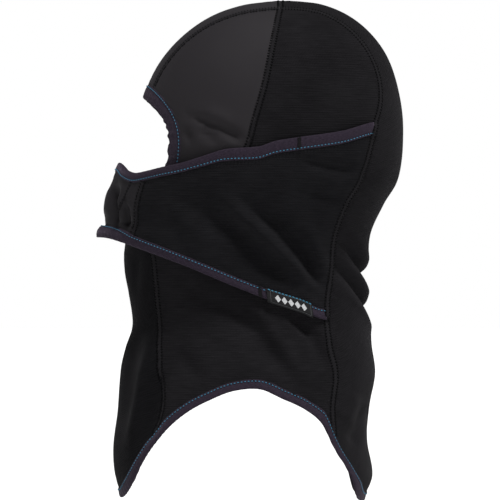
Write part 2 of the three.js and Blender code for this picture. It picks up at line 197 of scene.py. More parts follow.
class Form:
    """A rounded body: a head above height 0, level oval sections below it."""

    def __init__(self, front, front_power):
        self.front = front
        self.front_power = front_power

    def reach(self, y, z):
        """How far a side-view place is from the middle: 1 at the face, -1 at the nape."""
        over = -np.sign(y) * np.hypot(y, z) / crown_radius(np.arctan2(np.maximum(z, 0), -y))
        depth = np.maximum(-z, 0)
        middle = centre(depth)
        ahead = (middle - y) / (middle - self.front(depth))
        behind = (middle - y) / (back(depth) - middle)
        return np.where(z >= 0, over, np.where(y < middle, ahead, behind))

    def power(self, q):
        return np.where(q > 0, self.front_power, ROUNDNESS)

    def width(self, q, z):
        power = self.power(q)
        inside = np.clip(1 - np.abs(q) ** power, 0, 1)
        return half_width(np.maximum(-z, 0)) * inside ** (1 / power)

    def level(self, p):
        q = self.reach(p[:, 1], p[:, 2])
        power = self.power(q)
        share = np.abs(p[:, 0]) / half_width(np.maximum(-p[:, 2], 0))
        return share ** power + np.abs(q) ** power

    def normal(self, p):
        steps = np.eye(3) * 0.5
        slope = np.stack([self.level(p + step) - self.level(p - step) for step in steps], 1)
        return slope / np.linalg.norm(slope, axis=1, keepdims=True)

    def on_side(self, y, z, side):
        return np.stack([side * self.width(self.reach(y, z), z), y, z], 1)

    def on_face(self, x, z):
        depth = np.maximum(-z, 0)
        power = np.where(z >= 0, ROUNDNESS, self.front_power)
        q = np.clip(1 - (np.abs(x) / half_width(depth)) ** power, 0, 1) ** (1 / power)
        middle = centre(depth)
        high = -np.sqrt(np.maximum((q * HEAD_RADIUS) ** 2 - z * z, 0))
        return np.stack([x, np.where(z >= 0, high, middle - q * (middle - self.front(depth))), z], 1)

    def around(self, angle, z):
        """Place by its angle round from the nose, positive to the left, and its height."""
        q = signed_power(np.cos(angle), 2 / np.where(np.cos(angle) > 0, self.front_power, ROUNDNESS))
        depth = np.maximum(-z, 0)
        middle = centre(depth)
        radius = np.where(q > 0, middle - self.front(depth), back(depth) - middle)
        over = np.pi - np.arcsin(np.clip(z / HEAD_RADIUS, -1, 1))
        high = -np.sign(q) * np.sqrt(np.maximum((np.abs(q) * crown_radius(over)) ** 2 - z * z, 0))
        y = np.where(z >= 0, high, middle - q * radius)
        return np.stack([np.sign(angle) * self.width(q, z), y, z + 0 * angle], 1)

    def angle_of(self, y, z):
        q = self.reach(y, z)
        return np.arccos(signed_power(np.clip(q, -1, 1), self.power(q) / 2))

    def lift(self, p, height):
        return p + self.normal(p) * np.reshape(height, (-1, 1))


hood = Form(hood_front, ROUNDNESS)
mask = Form(mask_front, MASK_ROUNDNESS)


def mask_reach(angle):
    return signed_power(np.cos(angle), 2 / np.where(np.cos(angle) > 0, MASK_ROUNDNESS, ROUNDNESS))


def over_middle(place, x):
    """Place over the middle of the hood: 0 to 180 degrees over the head, then down the back."""
    place, x = np.broadcast_arrays(np.asarray(place, float), np.asarray(x, float))
    depth = np.maximum(place - 180, 0)
    q = np.clip(1 - (np.abs(x) / half_width(depth)) ** ROUNDNESS, 0, 1) ** (1 / ROUNDNESS)
    angle = np.radians(place)
    radius = q * crown_radius(angle)
    middle = centre(depth)
    y = np.where(place <= 180, -radius * np.cos(angle), middle + q * (back(depth) - middle))
    z = np.where(place <= 180, radius * np.sin(angle), -depth)
    return np.stack([x, y, z], 1)


crown = hood.lift(over_middle([CROWN_SEAM_ANGLE], [0.0]), -CAD_FABRIC)[0]
FRAME_SHIFT = np.array([0, -crown[1], -crown[2]])


def to_frame(points):
    return (points + FRAME_SHIFT) * 0.001


# ---------------------------------------------------------------- folds in the cloth


def fold(points, width, rise):
    """A rounded ridge, or with a negative rise a valley, along side-view points."""
    ends = np.array(points, float)
    spans = ends[1:] - ends[:-1]
    reached = np.concatenate([[0], np.cumsum(np.linalg.norm(spans, axis=1))])

    def height(y, z):
        nearest = np.full(y.shape, np.inf)
        share = np.zeros(y.shape)
        for start, span, walked in zip(ends, spans, reached):
            length = math.hypot(*span)
            t = np.clip(((y - start[0]) * span[0] + (z - start[1]) * span[1]) / length ** 2, 0, 1)
            away = np.hypot(y - start[0] - t * span[0], z - start[1] - t * span[1])
            share = np.where(away < nearest, (walked + t * length) / reached[-1], share)
            nearest = np.minimum(nearest, away)
        fade = 0.25 + 0.75 * smooth(share, 0, 0.3) * (1 - smooth(share, 0.75, 1))
        return rise * fade * np.exp(-(nearest / width) ** 2)

    return height


HOOD_FOLDS = [
    fold([(-24, 102), (8, 104), (38, 97)], 14, -1.1),
    fold([(-64, 12), (-40, 3), (-19, -8)], 3.3, -4.2),
    fold([(-58, 2), (-40, -8)], 3.3, -2.4),
    fold([(-52, 15), (-30, 6)], 5, 1.6),
    fold([(-67, 2), (-62, -8)], 3.5, -2.0),
    fold([(8, 79), (21, 87), (32, 92)], 3, -2.0),
    fold([(16, 72), (36, 84)], 5, -1.0),
    fold([(30, 60), (66, 26)], 9, -0.9),
    fold([(18, 44), (58, 12)], 9, 0.8),
    fold([(14, -130), (32, -158), (46, -186)], 5.5, -3.4),
    fold([(14, -141), (31, -158)], 4, -2.4),
    fold([(-58, -128), (-24, -142), (3, -153)], 7, -2.0),
    fold([(-34, -132), (-10, -158), (16, -190)], 6.5, -3.4),
    fold([(-18, -130), (4, -158), (24, -186)], 6, 2.6),
    fold([(-40, -150), (-22, -172), (-8, -196)], 6, 1.6),
    fold([(-76, -166), (-54, -192)], 6, -2.0),
    fold([(-62, -160), (-44, -184)], 7, 1.0),
    fold([(-94, -160), (-101, -206), (-110, -246)], 5, 4.6),
    fold([(-104, -150), (-112, -190), (-117, -236)], 6, -2.4),
    fold([(-84, -180), (-92, -232)], 5, -4.0),
    fold([(-104, -92), (-107, -128)], 4, -1.7),
    fold([(76, -208), (70, -226), (62, -244)], 5, -4.0),
    fold([(66, -200), (56, -228)], 6, 2.4),
]
MASK_FOLDS = [
    fold([(-50, -56), (-22, -80), (-6, -98), (15, -117)], 8, -6.6),
    fold([(-34, -52), (-15, -70), (1, -86), (16, -101), (32, -118)], 6.5, 5.6),
    fold([(-20, -54), (6, -74), (22, -94), (33, -110), (38, -118)], 6, -6.4),
    fold([(24, -98), (32, -110), (38, -118)], 3, -3.0),
    fold([(22, -66), (34, -90), (42, -112)], 6, 2.8),
    fold([(20, -22), (46, -28), (66, -31)], 4, -3.0),
    fold([(24, -48), (56, -50)], 5, -2.4),
    fold([(-76, -48), (-48, -62), (-30, -78)], 8, -2.0),
    fold([(-90, -58), (-60, -84)], 8, -1.8),
    fold([(-70, -66), (-44, -92)], 8, 1.6),
    fold([(-119, -38), (-120, -54), (-118, -72)], 4.0, -7.5),
    fold([(-113, -46), (-113.5, -71)], 2.6, 3.2),
    fold([(-108.5, -54), (-109.5, -74)], 3.0, -6.0),
    fold([(-106, -46), (-107, -66)], 3, 1.6),
    fold([(-126, -38), (-127, -66)], 3, 1.4),
]
# height at the middle, width, depth and how steeply each fold climbs to the side seams
NAPE_FOLDS = [(-111.5, 4.6, 9.0, 0.85), (-137.5, 4.2, 7.2, 1.05), (-124, 5, -1.8, 0.95),
              (-98, 7, -1.6, 0.8), (-151, 6, -1.6, 1.1)]


def folds(shapes, p):
    """Heights of the folds, with the right side a softer copy that is moved a little."""
    right = p[:, 0] < 0
    y = p[:, 1] + np.where(right, 7, 0)
    z = p[:, 2] + np.where(right, -6, 0)
    return np.where(right, 0.8, 1) * sum(shape(y, z) for shape in shapes)


def drift(p, size):
    """Slow unevenness of cloth that is filled out by hand."""
    x, y, z = p[:, 0] / size, p[:, 1] / size, p[:, 2] / size
    return (np.sin(x + 1.7 * np.sin(0.7 * z + 1)) * np.sin(0.9 * y + 0.8 * np.sin(1.1 * z))
            + 0.5 * np.sin(2.1 * z + 1.3 * np.sin(1.3 * y + 2) + x))


def nape(p):
    """Folds where the hood buckles at the nape, climbing beside the middle, softer on the right."""
    fade = smooth(p[:, 1], 20, 46) * (1 - 0.9 * smooth(np.abs(p[:, 0]), 18, 58))
    left = smooth(p[:, 0], -30, 12)
    climb = mix(0.45, 1, left) * (np.hypot(p[:, 0], 18) - 18)

    def crease(at, wide, deep, steep):
        return deep * np.exp(-np.abs((p[:, 2] - at - steep * climb) / wide) ** 1.5)

    return -fade * mix(0.6, 1, left) * sum(crease(*shape) for shape in NAPE_FOLDS)


def half_seam(p):
    """Half width of the centre back panel at a place's height, and 0 ahead of the crown."""
    place = np.where(p[:, 2] >= 0, np.degrees(np.arctan2(p[:, 2], -p[:, 1])), 180 - p[:, 2])
    return np.where(p[:, 1] > 0, back_panel_half(place), 0)


def mask_ease(p):
    cheek = np.minimum(1, np.abs(p[:, 0]) / 60) ** 2
    return MASK_EASE * cheek * smooth(-p[:, 1], -9.5, 75)


def mask_folds(p):
    return folds(MASK_FOLDS, p) + 0.3 * drift(p, 17)


def mask_span(p, margin):
    """1 between the mask's upper and lower edges, fading to 0 within a margin of them."""
    q = mask.reach(p[:, 1], p[:, 2])
    top = smooth(mask_top_edge(q) - p[:, 2], 1, margin)
    return top * smooth(p[:, 2] - mask_bottom_edge(q), 1, margin)


def under_mask(p):
    """1 where the mask lies on the hood, fading to 0 just inside the mask's edges."""
    front = smooth(hood.reach(p[:, 1], p[:, 2]), 0.97, 0.9)
    return mask_span(p, 6) * front * smooth(half_seam(p) - np.abs(p[:, 0]), 3, -3)


def hood_height(p):
    open_cloth = folds(HOOD_FOLDS, p) + nape(p) + 0.3 * drift(p, 19)
    covered = np.minimum(mask_folds(p), 0) - 1.0
    return mix(open_cloth, covered, under_mask(p))


def mask_height(p):
    """The mask lies down onto the hood where its rear edge is caught in the back seam."""
    caught = np.exp(-np.maximum(np.abs(p[:, 0]) - half_seam(p), 0) / 3.5)
    caught = np.where(p[:, 1] > 0, caught, 0)
    return (MASK_LIFT + mask_folds(p)) * (1 - 0.75 * caught) + mask_ease(p)


def back_seam_height(p):
    """The back seam runs over the mask's rear edge and the ends of its bindings."""
    q = mask.reach(p[:, 1], p[:, 2])
    over_top = np.exp(-((mask_top_edge(q) - 4.5 - p[:, 2]) / 6) ** 4)
    over_foot = np.exp(-((mask_bottom_edge(q) + 4 - p[:, 2]) / 6) ** 4)
    sewn = mask_height(p) + 0.3 + 1.0 * (over_top + over_foot)
    return np.maximum(hood_height(p), mix(hood_height(p), sewn, mask_span(p, 2.5)))


# ---------------------------------------------------------------- shader expressions


class Shade:
    """A node socket that takes part in Python expressions."""

    def __init__(self, maker, socket):
        self.maker = maker
        self.socket = socket

    def math(self, operation, *others):
        return self.maker.node("ShaderNodeMath", {"operation": operation}, self, *others)

    def __add__(self, other):
        return self.math("ADD", other)

    __radd__ = __add__

    def __mul__(self, other):
        return self.math("MULTIPLY", other)

    __rmul__ = __mul__

    def __sub__(self, other):
        return self.math("SUBTRACT", other)

    def __rsub__(self, other):
        return self.maker.node("ShaderNodeMath", {"operation": "SUBTRACT"}, other, self)

    def __lt__(self, other):
        return self.math("LESS_THAN", other)

    def sine(self):
        return self.math("SINE")

    def size(self):
        return self.math("ABSOLUTE")

    def clamped(self):
        return self.maker.node("ShaderNodeClamp", {}, self)


class Maker:
    """Builds one cloth material."""

    def __init__(self, name, **finish):
        self.material = bpy.data.materials.new(name)
        self.material.use_nodes = True
        self.tree = self.material.node_tree
        self.surface = next(n for n in self.tree.nodes if n.type == "BSDF_PRINCIPLED")
        for socket, value in finish.items():
            self.surface.inputs[socket.replace("_", " ")].default_value = value

    def node(self, kind, settings, *inputs, output=0, **named):
        made = self.tree.nodes.new(kind)
        for name, value in settings.items():
            setattr(made, name, value)
        pairs = list(enumerate(inputs)) + [(k.replace("_", " "), v) for k, v in named.items()]
        for key, value in pairs:
            self.join(value, made.inputs[key])
        return Shade(self, made.outputs[output])

    def join(self, value, socket):
        if isinstance(value, Shade):
            self.tree.links.new(value.socket, socket)
        else:
            socket.default_value = value

    def place(self, kind="UV"):
        return self.node("ShaderNodeTexCoord", {}, output=kind)

    def parts(self, vector):
        split = self.tree.nodes.new("ShaderNodeSeparateXYZ")
        self.join(vector, split.inputs[0])
        return [Shade(self, out) for out in split.outputs]

    def vector(self, x, y, z=0.0):
        return self.node("ShaderNodeCombineXYZ", {}, x, y, z)

    def noise(self, vector, scale, detail=3.0, roughness=0.5):
        return self.node("ShaderNodeTexNoise", {}, Vector=vector, Scale=scale, Detail=detail,
                         Roughness=roughness, output="Fac")

    def blend(self, factor, a, b):
        made = self.tree.nodes.new("ShaderNodeMix")
        made.data_type = "RGBA"
        for key, value in ((0, factor), (6, a), (7, b)):
            self.join((*value, 1.0) if isinstance(value, tuple) else value, made.inputs[key])
        return Shade(self, made.outputs[2])

    def finish(self, color, roughness, height, distance):
        self.join(color, self.surface.inputs["Base Color"])
        self.join(roughness, self.surface.inputs["Roughness"])
        bump = self.node("ShaderNodeBump", {}, Height=height, Distance=distance, Strength=1.0,
                         output="Normal")
        self.join(bump, self.surface.inputs["Normal"])
        return self.material


def sheen(weight, roughness, tint):
    return {"Sheen_Weight": weight, "Sheen_Roughness": roughness, "Sheen_Tint": (*tint, 1.0)}


def waves(value, pitch):
    """A sine over a length in metres, one wave each pitch."""
    return (value * (2 * math.pi / pitch)).sine()


def knit_material(name, dark, light):
    """Fine ribbed jersey: level courses crossed by wales, uneven from yarn to yarn."""
    m = Maker(name, **sheen(0.03, 0.5, (0.6, 0.58, 0.62)), Specular_IOR_Level=0.05)
    u, v, _ = m.parts(m.place())
    wander = m.noise(m.vector(u * 30, v * 90), 1.0, 2.0)
    course = waves(v + wander * 0.0011, 0.0018)
    wale = waves(u, 0.0012)
    streak = m.noise(m.vector(u * 70, v * 900), 1.0, 4.0, 0.6)
    cloud = m.noise(m.place("Object"), 26.0, 3.0)
    fuzz = m.noise(m.place("Object"), 2200.0, 2.0)
    tone = (streak * 1.1 + course * 0.06 + cloud * 0.6 + wale * 0.04 - 0.65).clamped()
    color = m.blend(tone, dark, light)
    height = course * 0.2 + wale * 0.2 + streak * 0.5 + fuzz * 0.4
    return m.finish(color, 0.86 + streak * 0.1, height, 0.00025)


def seam_material(name, dark, light):
    """The welt of a flatlock seam: two rows of needle holes, with their shade painted on dark."""
    m = Maker(name, **sheen(0.03, 0.5, (0.6, 0.58, 0.62)), Specular_IOR_Level=0.05)
    u, v, _ = m.parts(m.place())
    pitch = FLATLOCK_PITCH * 0.001
    along = (v * (1 / pitch) + 0.5).math("PINGPONG", 0.5) * pitch
    across = u.size() - SEAM_ROWS * SEAM_WIDTH * 0.001
    shaded_hole = ((1 - (along * along + across * across) * (1 / NEEDLE_HOLE ** 2)) * 1.4).clamped()
    streak = m.noise(m.vector(u * 900, v * 300), 1.0, 3.0, 0.6)
    color = m.blend(streak, dark, light)
    # painted shade: near-black dots stand for the shade inside the needle holes
    color = m.blend(shaded_hole * 0.6, color, (0.0005, 0.0005, 0.0006))
    return m.finish(color, 0.9 - streak * 0.1, streak * 0.3 - shaded_hole * 1.5, 0.0004)


def windproof_material(name, dark, light):
    """Smooth brushed softshell with a faint fine twill."""
    m = Maker(name, **sheen(0.03, 0.4, (0.6, 0.58, 0.62)), Specular_IOR_Level=0.12)
    u, v, _ = m.parts(m.place())
    twill = waves(u + v, 0.0011)
    grain = m.noise(m.place("Object"), 1500.0, 3.0, 0.6)
    cloud = m.noise(m.place("Object"), 18.0, 3.0)
    tone = (grain * 0.5 + cloud * 0.7 + twill * 0.05 - 0.25).clamped()
    color = m.blend(tone, dark, light)
    return m.finish(color, 0.62 + grain * 0.14, twill * 0.25 + grain * 0.6, 0.00009)


def binding_material():
    """Heathered stretch tape: dark yarns with mauve flecks running along it."""
    m = Maker("binding_tape_heather", **sheen(0.1, 0.4, (0.6, 0.5, 0.66)), Specular_IOR_Level=0.15)
    u, v, _ = m.parts(m.place())
    fleck = m.noise(m.vector(u * 2400, v * 420), 1.0, 3.0, 0.65)
    yarn = m.noise(m.vector(u * 1100, v * 1500), 1.0, 2.0, 0.5)
    rib = waves(v, 0.0011)
    tone = ((fleck - 0.38) * 2.4 + rib * 0.06).clamped()
    color = m.blend(tone, (0.0120, 0.0082, 0.0155), (0.038, 0.0270, 0.043))
    return m.finish(color, 0.74 + yarn * 0.15, rib * 0.4 + yarn * 0.5 + fleck * 0.3, 0.00016)


def thread_material(name, dark, light, shine):
    """Twisted thread, a little brighter along its crown."""
    m = Maker(name, **sheen(0.02, 0.3, (0.7, 0.7, 0.7)), Specular_IOR_Level=shine)
    ply = m.noise(m.place("Object"), 2600.0, 2.0)
    color = m.blend(ply, dark, light)
    return m.finish(color, 0.5 + ply * 0.2, ply, 0.00008)


def label_material():
    """Damask label: black satin ground, a plain border and a row of woven lozenges."""
    m = Maker("woven_label_tape", Specular_IOR_Level=0.2)
    u, v, _ = m.parts(m.place())
    half_length = LABEL_LENGTH * 0.0005
    half_height = LABEL_WIDTH * 0.0005
    across = (u - half_length).size()
    up = (v - half_height).size()
    edge = LABEL_MARGIN + LABEL_LINE
    inside = (across < half_length - LABEL_MARGIN) * (up < half_height - LABEL_MARGIN)
    core = (across < half_length - edge) * (up < half_height - edge)
    border = (inside - core).clamped()
    along = (across * (1 / LOZENGE_PITCH)).math("PINGPONG", 0.5)
    in_row = across < LOZENGE_PITCH * 2.5
    lozenge = ((along * 2.2 + up * (1 / (half_height * 0.53))) < 1.0) * in_row
    satin = waves(v, 0.00042) * 0.5 + waves(u, 0.0005) * 0.5
    grain = m.noise(m.place("Object"), 2400.0, 2.0)
    ground = m.blend(grain, (0.0045, 0.0045, 0.005), (0.010, 0.010, 0.011))
    color = m.blend(border * 0.25, ground, (0.20, 0.21, 0.22))
    color = m.blend(lozenge * (0.75 + grain * 0.2), color, (0.60, 0.61, 0.62))
    return m.finish(color, 0.55 + grain * 0.15, satin * 0.4 + lozenge * 0.8 + border * 0.5, 0.00012)


KNIT = knit_material("hood_knit", (0.0058, 0.0054, 0.0062), (0.0176, 0.0167, 0.0187))
# painted shade: the mask's knit is the hood knit made a little darker, as it faces down and forward
SHADED_MASK_KNIT = knit_material("mask_knit_painted_shade", (0.0052, 0.0051, 0.0060), (0.0158, 0.0154, 0.0172))
# painted shade: the neck front is the same knit made much darker, as it faces forward and down, away
# from the light
SHADED_NECK_KNIT = knit_material("neck_knit", (0.0032, 0.0031, 0.0037), (0.0098, 0.0095, 0.0108))
WINDPROOF = windproof_material("hood_softshell", (0.0160, 0.0143, 0.0163), (0.0230, 0.0208, 0.0235))
# painted shade: the mask's front panel is the forehead softshell made darker, as it faces down and
# away from the light
SHADED_MASK_WINDPROOF = windproof_material("mask_softshell_painted_shade", (0.0112, 0.0101, 0.0118),
                                    (0.0172, 0.0157, 0.0179))
BINDING = binding_material()
TEAL = thread_material("topstitch_teal", (0.012, 0.085, 0.15), (0.035, 0.20, 0.32), 0.4)
# the flatlock thread's own black, darkened further as painted shade of the stitches and their holes
BLACK_THREAD_AND_SHADE = thread_material("flatlock_black_and_shade", (0.0008, 0.0008, 0.001), (0.003, 0.003, 0.0034),
                              0.05)
SEAM_CLOTH = seam_material("seam_knit", (0.0060, 0.0056, 0.0064), (0.0150, 0.0142, 0.0158))
LABEL_CLOTH = label_material()

# ---------------------------------------------------------------- making meshes


def lengths(points):
    """Distance walked along the first axis of a grid of points."""
    steps = np.linalg.norm(np.diff(points, axis=0), axis=2)
    return np.concatenate([np.zeros((1, points.shape[1])), np.cumsum(steps, axis=0)])


def grid_piece(name, across, along, spot, material, seamed_across=False, seamed_along=False,
               level_grain=False):
    """A mapped grid: spot(u, v) gives the places, in millimetres, of corners in 0 to 1."""
    bm = bmesh.new()
    bmesh.ops.create_grid(bm, x_segments=across, y_segments=along, size=0.5)
    corners = np.array([v.co[:2] for v in bm.verts]) + 0.5
    order = np.lexsort((corners[:, 0].round(6), corners[:, 1].round(6)))
    corners = corners[order]
    points = spot(corners[:, 0], corners[:, 1])
    table = points.reshape(along + 1, across + 1, 3)
    walked_v = lengths(table)
    walked_u = lengths(table.transpose(1, 0, 2)).T
    middle_u = walked_u[:, across // 2:across // 2 + 1]
    down = -points[:, 2] if level_grain else walked_v.ravel()
    texture = np.stack([(walked_u - middle_u).ravel(), down], 1) * 0.001
    bm.verts.ensure_lookup_table()
    layer = bm.loops.layers.uv.new("cloth")
    rank = np.empty(len(order), int)
    rank[order] = np.arange(len(order))
    placed = to_frame(points)
    for face in bm.faces:
        for loop in face.loops:
            loop[layer].uv = texture[rank[loop.vert.index]]
    for vert in bm.verts:
        vert.co = placed[rank[vert.index]]
    if seamed_across or seamed_along:
        bmesh.ops.remove_doubles(bm, verts=bm.verts, dist=1e-6)
    if seamed_across and not seamed_along:
        ends = [edge for edge in bm.edges if edge.is_boundary]
        bmesh.ops.holes_fill(bm, edges=ends, sides=0)
    if seamed_across:
        bmesh.ops.recalc_face_normals(bm, faces=bm.faces)
    else:
        face_outward(bm)
    piece = object_from(name, bm, material)
    piece["worn_width"] = float(walked_u[:, -1].max() * 0.001)
    piece["worn_length"] = float(walked_v[-1].max() * 0.001)
    return piece


def face_outward(bm):
    """Turns a sheet's faces away from the middle of the head and neck."""
    bm.normal_update()
    axis = Vector(to_frame(np.array([0.0, -15.0, 0.0])))
    turned = 0.0
    for face in bm.faces:
        spot = face.calc_center_median()
        heart = Vector((axis.x, axis.y, min(spot.z, axis.z)))
        turned += face.normal.dot(spot - heart) * face.calc_area()
    if turned < 0:
        bmesh.ops.reverse_faces(bm, faces=bm.faces)


def object_from(name, bm, material):
    for face in bm.faces:
        face.smooth = True
    mesh = bpy.data.meshes.new(name)
    bm.to_mesh(mesh)
    bm.free()
    mesh.materials.append(material)
    piece = bpy.data.objects.new(name, mesh)
    bpy.context.collection.objects.link(piece)
    return piece


def panel(name, width, length, spot, form, height, material, stands_for, step=MESH_STEP,
          level_grain=False):
    """A panel of cloth: a grid laid on a form at its folded height, with its thickness inside."""
    across, along = round(width / step), round(length / step)

    def laid(u, v):
        p = spot(u, v)
        edge = np.minimum(np.minimum(u, 1 - u) * width, np.minimum(v, 1 - v) * length)
        wave = np.sin((p[:, 2] + p[:, 1] * 0.7) * 0.92 + 2 * np.sin(p[:, 2] / 13))
        pucker = PUCKER * np.exp(-edge / PUCKER_REACH) * wave
        return form.lift(p, height(p) + pucker)

    piece = grid_piece(name, across, along, laid, material, level_grain=level_grain)
    wall = piece.modifiers.new("cloth_thickness", "SOLIDIFY")
    wall.thickness = FABRIC * 0.001
    wall.offset = -1
    wall.use_even_offset = False
    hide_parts(*stands_for)
    flat = (piece["worn_width"] / CUT_STRETCH, piece["worn_length"] / CUT_STRETCH)
    worn_area = sum(face.area for face in piece.data.polygons)
    cut_area = min(worn_area / CUT_STRETCH ** 2, flat[0] * flat[1])
    return piece


def tape(name, steps, spot, width, form, height, stands_for, closed, gather, low):
    """A binding tape folded over an edge. spot(t, w) is the place at a distance w from its fold."""
    def section(u, t):
        turn = 2 * np.pi * u
        share = 0.5 + 0.5 * signed_power(np.cos(turn), 0.7)
        w = share * width(t)
        side = signed_power(np.sin(turn), 0.75)
        p = spot(t, w)
        outer = np.clip(side, 0, 1)
        groove = 0.4 * outer * np.exp(-((w - width(t) + 1.5) / 0.8) ** 2)
        girth = p[:, 0] * 0.55 + p[:, 1] * 0.9 + p[:, 2] * 0.8
        ripple = gather * np.sin(girth * 1.25 + 1.4 * np.sin(girth / 9)) * (0.4 + 0.6 * (1 - share))
        body = mix(TAPE, TAPE * 0.72, share) / 2
        return form.lift(p, height(p) + low + side * body - groove + ripple)

    piece = grid_piece(name, TAPE_SIDES, steps, section, BINDING, True, closed)
    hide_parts(*stands_for)
    return piece


def stitches(name, places, alongs, normals, length, radius, material):
    """A run of short stitches, each a small spindle of thread lying on the cloth."""
    done = bmesh.new()
    few = bmesh.new()
    mesh = bpy.data.meshes.new(name + "_few")
    for i, (place, along, normal) in enumerate(zip(to_frame(places), alongs, normals)):
        x = Vector(along).normalized()
        z = Vector(normal).normalized()
        y = z.cross(x).normalized()
        z = x.cross(y)
        turn = Matrix((x, y, z)).transposed().to_4x4()
        size = Matrix.Diagonal((length * 0.0005, radius * 0.001, radius * 0.001, 1))
        upright = Matrix.Rotation(math.pi / 2, 4, "Y")
        matrix = Matrix.Translation(Vector(place)) @ turn @ size @ upright
        bmesh.ops.create_uvsphere(few, u_segments=6, v_segments=4, radius=1, matrix=matrix)
        if i % 60 == 59 or i == len(places) - 1:
            few.to_mesh(mesh)
            done.from_mesh(mesh)
            few.free()
            few = bmesh.new()
    few.free()
    bpy.data.meshes.remove(mesh)
    return object_from(name, done, material)


def walk(path, start, end, pitch, samples=600):
    """Parameters spaced evenly by distance along path(t)."""
    t = np.linspace(start, end, samples)
    p = path(t)
    walked = np.concatenate([[0], np.cumsum(np.linalg.norm(np.diff(p, axis=0), axis=1))])
    count = max(2, int(walked[-1] / pitch))
    return np.interp((np.arange(count) + 0.5) * walked[-1] / count, walked, t), walked[-1]


def tangents(path, t, step):
    d = path(t + step) - path(t - step)
    return d / np.linalg.norm(d, axis=1, keepdims=True)


def topstitch(name, spot, width, form, height, low):
    """Teal stitches along a tape, sunk a little into it."""
    def path(t):
        p = spot(t, width(t) - STITCH_INSET)
        return form.lift(p, height(p) + low + TAPE * 0.43)

    t, _ = walk(path, 0.0, 1.0, TOPSTITCH_PITCH)
    along = tangents(path, t, 0.0005)
    return stitches(name, path(t), along, form.normal(path(t)), 1.6, 0.38, TEAL)


def binding(name, steps, spot, width, form, height, stands_for, closed=False, gather=0.2, low=0.0):
    """A tape and the topstitch that holds it."""
    yield tape(name + "_tape", steps, spot, width, form, height, stands_for, closed, gather, low)
    yield topstitch(name + "_stitches", spot, width, form, height, low)


def flatlock(name, line, form, height, start, end, rise=0.2, width=SEAM_WIDTH):
    """A flat seam: a low welt along line(t), with a row of short stitches down each side."""
    span = end - start
    _, length = walk(line, start, end, 2.0)

    def offset(t, distance):
        p = line(t)
        along = tangents(line, t, span * 0.002)
        across = np.cross(form.normal(p), along)
        return p + across * np.reshape(distance, (-1, 1))

    def welt(u, v):
        w = 2 * u - 1
        p = offset(mix(start, end, v), w * width / 2)
        crowned = (1 - w ** 4) * rise - 0.5 * w ** 6
        dips = 0.18 * np.exp(-((np.abs(w) - 2 * SEAM_ROWS) / 0.14) ** 2)
        return form.lift(p, height(p) + crowned - dips)

    strip = grid_piece(name + "_welt", 12, round(length / 1.6), welt, SEAM_CLOTH)
    wall = strip.modifiers.new("welt_thickness", "SOLIDIFY")
    wall.thickness = 0.0005
    wall.offset = -1
    t, _ = walk(line, start, end, FLATLOCK_PITCH)
    row = width * SEAM_ROWS
    rows = np.repeat([row, -row], len(t))
    t = np.tile(t, 2)
    across = offset(t, row + 0.5) - offset(t, row - 0.5)
    p = offset(t, rows)
    threads = stitches(name + "_stitches", form.lift(p, height(p) + rise + 0.02), across,
                       form.normal(p), STITCH_LENGTH * row, 0.5, BLACK_THREAD_AND_SHADE)
    return strip, threads


# ---------------------------------------------------------------- edges and seams


def opening_reach(margin):
    return OPENING_HALF_WIDTH + SIDE_TURN * margin


def opening_at(angle, margin):
    """Outline of the face opening, widened by a margin, by the angle down from its top."""
    upper = np.cos(angle) > 0
    rise = np.where(upper, OPENING_RISE, OPENING_DROP) + margin
    power = np.where(upper, 2 / BROW_ROUNDNESS, 1)
    x = opening_reach(margin) * signed_power(np.sin(angle), power)
    return hood.on_face(x, OPENING_HEIGHT + rise * signed_power(np.cos(angle), power))


def brow_angle_at(x, margin):
    """Angle at which the upper half of that outline is a distance from the middle."""
    return np.arcsin(signed_power(x / opening_reach(margin), BROW_ROUNDNESS / 2))


def hem_top(q, width=HEM_BINDING):
    """Top of the hem binding, measured square to the hem."""
    slope = (hem_edge(q + 0.01) - hem_edge(q - 0.01)) / (0.02 * HEM_GIRTH)
    return hem_edge(q) + width * np.hypot(1, np.minimum(np.abs(slope), STEEPEST_HEM))


def hem_top_at(y):
    z = np.full_like(y, -210.0)
    for _ in range(8):
        z = hem_top(hood.reach(y, z), UNDER_HEM_BINDING)
    return z


def hem_top_across(x, facing):
    x = np.asarray(x, float)
    z = np.full_like(x, -250.0)
    for _ in range(8):
        share = np.clip(1 - (np.abs(x) / half_width(-z)) ** ROUNDNESS, 0, 1)
        z = hem_top(facing * share ** (1 / ROUNDNESS), UNDER_HEM_BINDING)
    return z


def spline(points):
    """A Catmull-Rom curve through a few side-view places, read by share of its length."""
    p = np.array(points, float)
    p = np.vstack([2 * p[0] - p[1], p, 2 * p[-1] - p[-2]])
    dense = []
    for a, b, c, d in zip(p, p[1:], p[2:], p[3:]):
        t = np.linspace(0, 1, 40, endpoint=False)[:, None]
        dense.append(0.5 * (2 * b + (c - a) * t + (2 * a - 5 * b + 4 * c - d) * t * t
                            + (3 * b - a - 3 * c + d) * t ** 3))
    dense = np.vstack(dense + [p[-2:-1]])
    walked = np.concatenate([[0], np.cumsum(np.linalg.norm(np.diff(dense, axis=0), axis=1))])
    walked /= walked[-1]
    return lambda t: np.stack([np.interp(t, walked, dense[:, i]) for i in (0, 1)], 1)


crown_top = over_middle([CROWN_SEAM_ANGLE], [CROWN_STRIP])[0]
opening_corner = opening_at(np.array([OPENING_SEAM_ANGLE]), FACE_BINDING)[0]
crown_seam = spline([crown_top[1:], (1.5, 70), (-5, 37), (-12.5, 10), (-19.5, -14), (-34, -36),
                     (-62, -49), opening_corner[1:] + (4, -4)])
neck_seam_start = -opening_corner[2] + 5
neck_seam_foot = float(-hem_top_across([62.0], 1)[0])
back_seam_foot = float(180 - hem_top_across([58.5], -1)[0])


